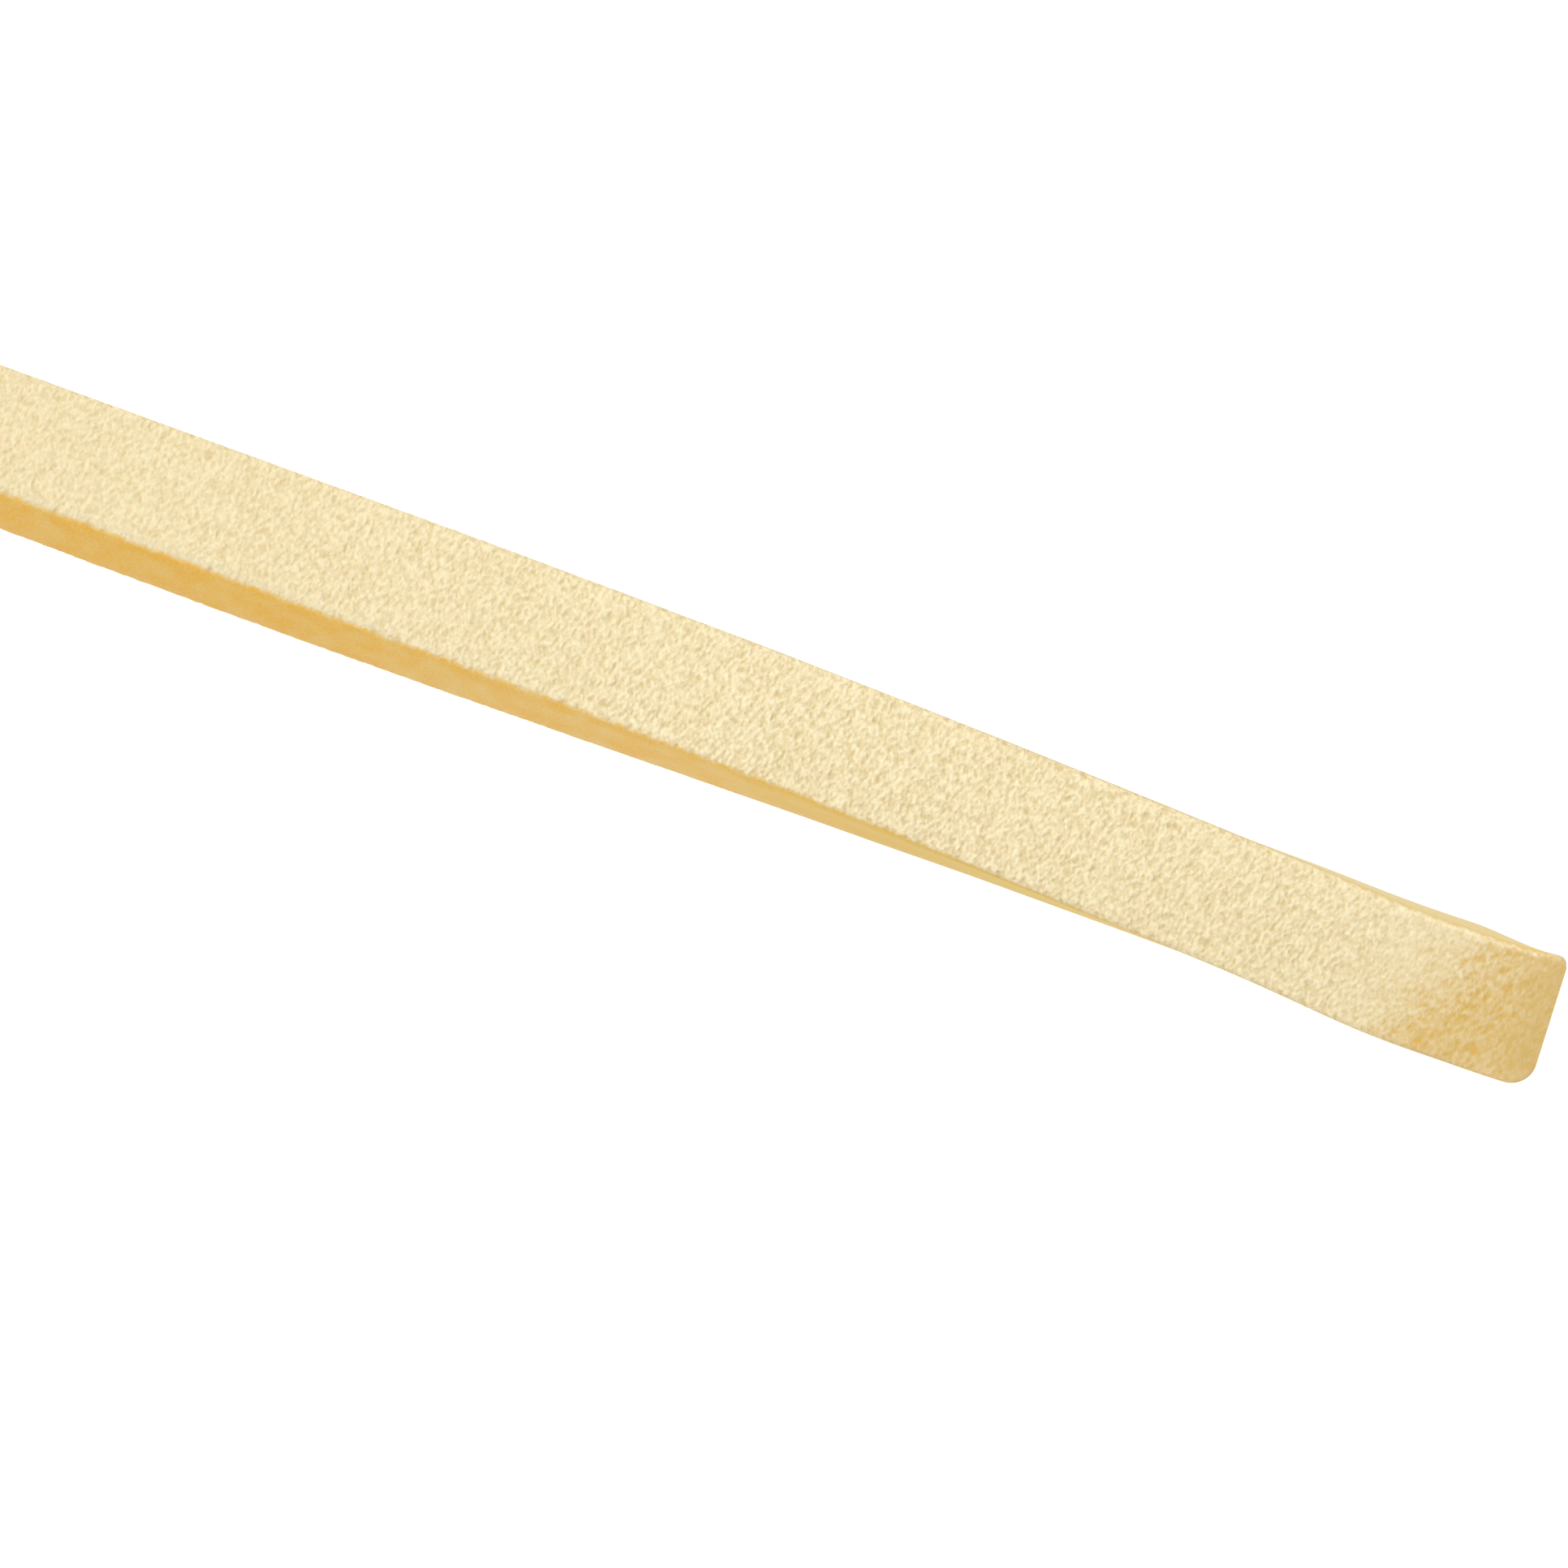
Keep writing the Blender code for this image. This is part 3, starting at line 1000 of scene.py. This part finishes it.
# %% [markdown]
# ## The colour of the cut sides
#
# A bare side is nearly clear, so it looks like amber with paler honey in soft patches and fine flecks.
# The two masks along the strand make it paler and then deeper, and the deeper colour is painted shade on
# the side where the strand turns. The far side is a duller tan than the near side's deep amber: the same
# dough painted as lit on the far side and as shaded on the near side. Real depth would need light to pass
# through the whole strand, which is slow and noisy, so two clouds of different size blend amber and honey.

# %% Cut sides
SIDE_AMBER = (0.655, 0.354, 0.022, 1)
SIDE_HONEY = (0.648, 0.505, 0.190, 1)
# Painted shade: the side's deeper colour where the strand turns.
SIDE_PAINTED_SHADE = (0.580, 0.372, 0.020, 1)
# Painted light: the far side's duller tan is the cut-side dough shown lit.
LIT_FAR_SIDE_TAN = (0.556, 0.404, 0.125, 1)
MOTTLE_ALONG = 0.7
MOTTLE_ACROSS = 0.4
MOTTLE_DETAIL = 1.0
MOTTLE_LOW = 0.3
MOTTLE_HIGH = 0.7
LEAST_HONEY = 0.03
MOST_HONEY = 0.38
FLECK_SHARE = 0.16
PALE_HONEY = 0.11
FAR_SHARE = 0.75

mottle_place = leaned(tree, place, MOTTLE_ALONG, MOTTLE_ACROSS)
mottle_cloud = cloud(tree, mottle_place, MOTTLE_DETAIL)
mottle = remap(tree, mottle_cloud, MOTTLE_LOW, MOTTLE_HIGH, LEAST_HONEY, MOST_HONEY)
flecks = remap(tree, grit_height, 0.0, 1.0, -FLECK_SHARE, FLECK_SHARE)
honey_share = weighed(tree, (mottle, 1.0), (flecks, 1.0), (stored(tree, "side_pale"), PALE_HONEY))
side_colour = blended(tree, honey_share, SIDE_AMBER, SIDE_HONEY)
# Painted shade deepens the side towards the twist.
side_colour = blended(tree, stored(tree, "painted_side_shade"), side_colour, SIDE_PAINTED_SHADE)
# Painted light: the far side turns to the lit tan.
far_share = maths(tree, "MULTIPLY", stored(tree, "far_side"), FAR_SHARE)
side_colour = blended(tree, far_share, side_colour, LIT_FAR_SIDE_TAN)
colour = blended(tree, rough, side_colour, skin_colour)
print("honey in the amber from", LEAST_HONEY, "to", MOST_HONEY)

# %% [markdown]
# ## Flour, nicks and gloss
#
# Flour is a loose powder, so it comes last and covers what is below, thickest on the crests. A nick lays
# the tan dough bare again. The skin scatters light and looks dull, most of all where it stands high, and
# the cut sides keep a soft shine. Separate shaders could be mixed for powder and for amber, but one
# roughness that changes over the surface looks the same and bakes well.

# %% Flour, nicks and roughness
FLOUR = (0.735, 0.672, 0.490, 1)
NICK_TAN = (0.520, 0.370, 0.150, 1)
FLOUR_ON_PITS = 0.35
FLOUR_ON_CRESTS = 0.9
NICK_SHARE = 0.65
SIDE_ROUGHNESS = 0.42
PIT_ROUGHNESS = 0.55
CREST_ROUGHNESS = 0.72
FLOUR_HEIGHTS = (0.2, 0.7)
GLOSS_HEIGHTS = (0.2, 0.9)

lip = stored(tree, "lip_share")
flour_cover = remap(tree, height, *FLOUR_HEIGHTS, FLOUR_ON_PITS, FLOUR_ON_CRESTS)
flour_share = maths(tree, "MULTIPLY", lip, flour_cover)
colour = blended(tree, flour_share, colour, FLOUR)
colour = blended(tree, maths(tree, "MULTIPLY", stored(tree, "nicks"), NICK_SHARE), colour, NICK_TAN)
put(tree, shader.inputs["Base Color"], colour)
skin_gloss = remap(tree, height, *GLOSS_HEIGHTS, PIT_ROUGHNESS, CREST_ROUGHNESS)
put(tree, shader.inputs["Roughness"], blended_value(tree, rough, SIDE_ROUGHNESS, skin_gloss))
print("roughness from", SIDE_ROUGHNESS, "on the sides to", CREST_ROUGHNESS, "on the crests")

# %% [markdown]
# ## Fine bumps and light inside the dough
#
# The creases and the grit stand a few hundredths of a millimetre high at most. They could be carved too,
# but that would take millions of points, so they only tilt the light, through a Bump node. The wrinkles
# join them where the mesh doesn't carry them. Dried dough is also a little see-through: light enters,
# turns warm inside and leaves nearby, which is what subsurface scattering is for.

# %% Bump, subsurface light and shine
BUMP_HEIGHT = 0.036 * MM
BUMP_WEIGHTS = (0.8, 0.6, 0.2)
PRESSED_BUMP = 0.5
SIDE_BUMP = 0.15
SUBSURFACE_SHARE = 0.25
SUBSURFACE_REACH = (1.0, 0.55, 0.22)
SUBSURFACE_SCALE = 0.4 * MM
DOUGH_IOR = 1.45
SHINE_LEVEL = 0.35

unseen_wrinkles = maths(tree, "MULTIPLY", wrinkle_height, maths(tree, "SUBTRACT", 1.0, carved_share))
bump_height = weighed(tree, *zip((unseen_wrinkles, crease_height, grit_height), BUMP_WEIGHTS))
bump_left = maths(tree, "MULTIPLY", rough, remap(tree, smooth, 0.0, 1.0, 1.0, PRESSED_BUMP))
bump_left = maths(tree, "MULTIPLY", bump_left, grain)
bump_height = maths(tree, "MULTIPLY", bump_height, remap(tree, bump_left, 0.0, 1.0, SIDE_BUMP, 1.0))
bump = tree.nodes.new("ShaderNodeBump")
bump.inputs["Distance"].default_value = BUMP_HEIGHT
put(tree, bump.inputs["Height"], bump_height)
put(tree, shader.inputs["Normal"], bump.outputs["Normal"])

shader.inputs["Subsurface Weight"].default_value = SUBSURFACE_SHARE
shader.inputs["Subsurface Radius"].default_value = SUBSURFACE_REACH
shader.inputs["Subsurface Scale"].default_value = SUBSURFACE_SCALE
shader.inputs["IOR"].default_value = DOUGH_IOR
shader.inputs["Specular IOR Level"].default_value = SHINE_LEVEL
strand_mesh.materials.append(dough)
print("dough nodes:", len(tree.nodes))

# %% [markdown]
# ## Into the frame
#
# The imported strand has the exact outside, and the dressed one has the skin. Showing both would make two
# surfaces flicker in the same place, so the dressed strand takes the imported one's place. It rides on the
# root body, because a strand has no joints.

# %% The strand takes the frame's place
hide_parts("strand")
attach(strand, "root")
print("the piece", strand.name, "stands for the packed strand")

# %% [markdown]
# ## Table
#
# Food is often shown on a white sheet that is lit until it looks pure white. Lamps strong enough for
# that would bleach the strand too. So the table is a large plane that glows by itself, with a grey paint
# under the glow, and the strand gets a light of its own.

# %% Table
TABLE_SIZE = 8.0
TABLE_GLOW = 0.95
TABLE_GREY = (0.25, 0.25, 0.25, 1)
TABLE_ROUGHNESS = 0.8
WHITE = (1, 1, 1, 1)

bpy.ops.mesh.primitive_plane_add(size=TABLE_SIZE)
table = bpy.context.object
table.name = "table"
table_paint = bpy.data.materials.new("white_table")
table_paint.use_nodes = True
table_shader = table_paint.node_tree.nodes["Principled BSDF"]
table_shader.inputs["Base Color"].default_value = TABLE_GREY
table_shader.inputs["Roughness"].default_value = TABLE_ROUGHNESS
table_shader.inputs["Emission Color"].default_value = WHITE
table_shader.inputs["Emission Strength"].default_value = TABLE_GLOW
table.data.materials.append(table_paint)
print("table is", TABLE_SIZE, "m wide and glows at", TABLE_GLOW)

# %% [markdown]
# ## Light
#
# The strand lies under a bright, even sky, with one large square lamp high up beyond its back end. The
# sky could do it alone, but the wrinkles would then hardly show. The lamp rakes over them just enough. It
# is hidden from the camera, so that every side can be looked at.

# %% Sky and lamp
SKY_STRENGTH = 0.75
LAMP_DIRECTION = Vector((-0.62, -0.05, 0.78))
LAMP_DISTANCE = 1.5
LAMP_SIZE = 0.7
LAMP_POWER = 23.0

world = bpy.data.worlds.new("even_sky")
world.use_nodes = True
world.node_tree.nodes["Background"].inputs["Color"].default_value = WHITE
world.node_tree.nodes["Background"].inputs["Strength"].default_value = SKY_STRENGTH
bpy.context.scene.world = world

lamp_data = bpy.data.lights.new("soft_lamp", "AREA")
lamp_data.shape = "SQUARE"
lamp_data.size = LAMP_SIZE
lamp_data.energy = LAMP_POWER
lamp = bpy.data.objects.new("soft_lamp", lamp_data)
bpy.context.scene.collection.objects.link(lamp)
lamp.location = LAMP_DIRECTION.normalized() * LAMP_DISTANCE
lamp.rotation_euler = LAMP_DIRECTION.to_track_quat("Z", "Y").to_euler()
lamp.visible_camera = False
print("lamp is", round(lamp.location.z, 2), "m above the table")

# %% [markdown]
# ## Camera
#
# The camera looks down on the front end from the near side, leaned so that the strand runs across the
# view at a slant. Dragging a camera into place by hand works, but the numbers are then hard to read.
# Here three directions are written down, right, up and backwards, and they are the columns of the
# camera's matrix. The lens is the sensor's width times the distance over the width to be seen.

# %% Camera
CAMERA_DISTANCE = 300 * MM
CAMERA_ELEVATION = math.radians(60.16)
CAMERA_ROLL = math.radians(21.55)
FRAME_WIDTH = 43.46 * MM
SENSOR_WIDTH = 36.0
AIM = Vector((HALF_LENGTH - 22.11 * MM, -0.725 * MM, 0.584 * MM))

camera_data = bpy.data.cameras.new("camera")
camera_data.sensor_width = SENSOR_WIDTH
camera_data.lens = SENSOR_WIDTH * CAMERA_DISTANCE / FRAME_WIDTH
camera = bpy.data.objects.new("camera", camera_data)
bpy.context.scene.collection.objects.link(camera)
backwards = Vector((0, -math.cos(CAMERA_ELEVATION), math.sin(CAMERA_ELEVATION)))
level_right = Vector((1, 0, 0))
level_up = backwards.cross(level_right)
right = math.cos(CAMERA_ROLL) * level_right + math.sin(CAMERA_ROLL) * level_up
up = math.cos(CAMERA_ROLL) * level_up - math.sin(CAMERA_ROLL) * level_right
turned = Matrix((right, up, backwards)).transposed().to_4x4()
camera.matrix_world = Matrix.Translation(AIM + backwards * CAMERA_DISTANCE) @ turned
bpy.context.scene.camera = camera
bpy.context.scene.view_settings.view_transform = "Standard"
print("lens is", round(camera_data.lens, 1), "mm")
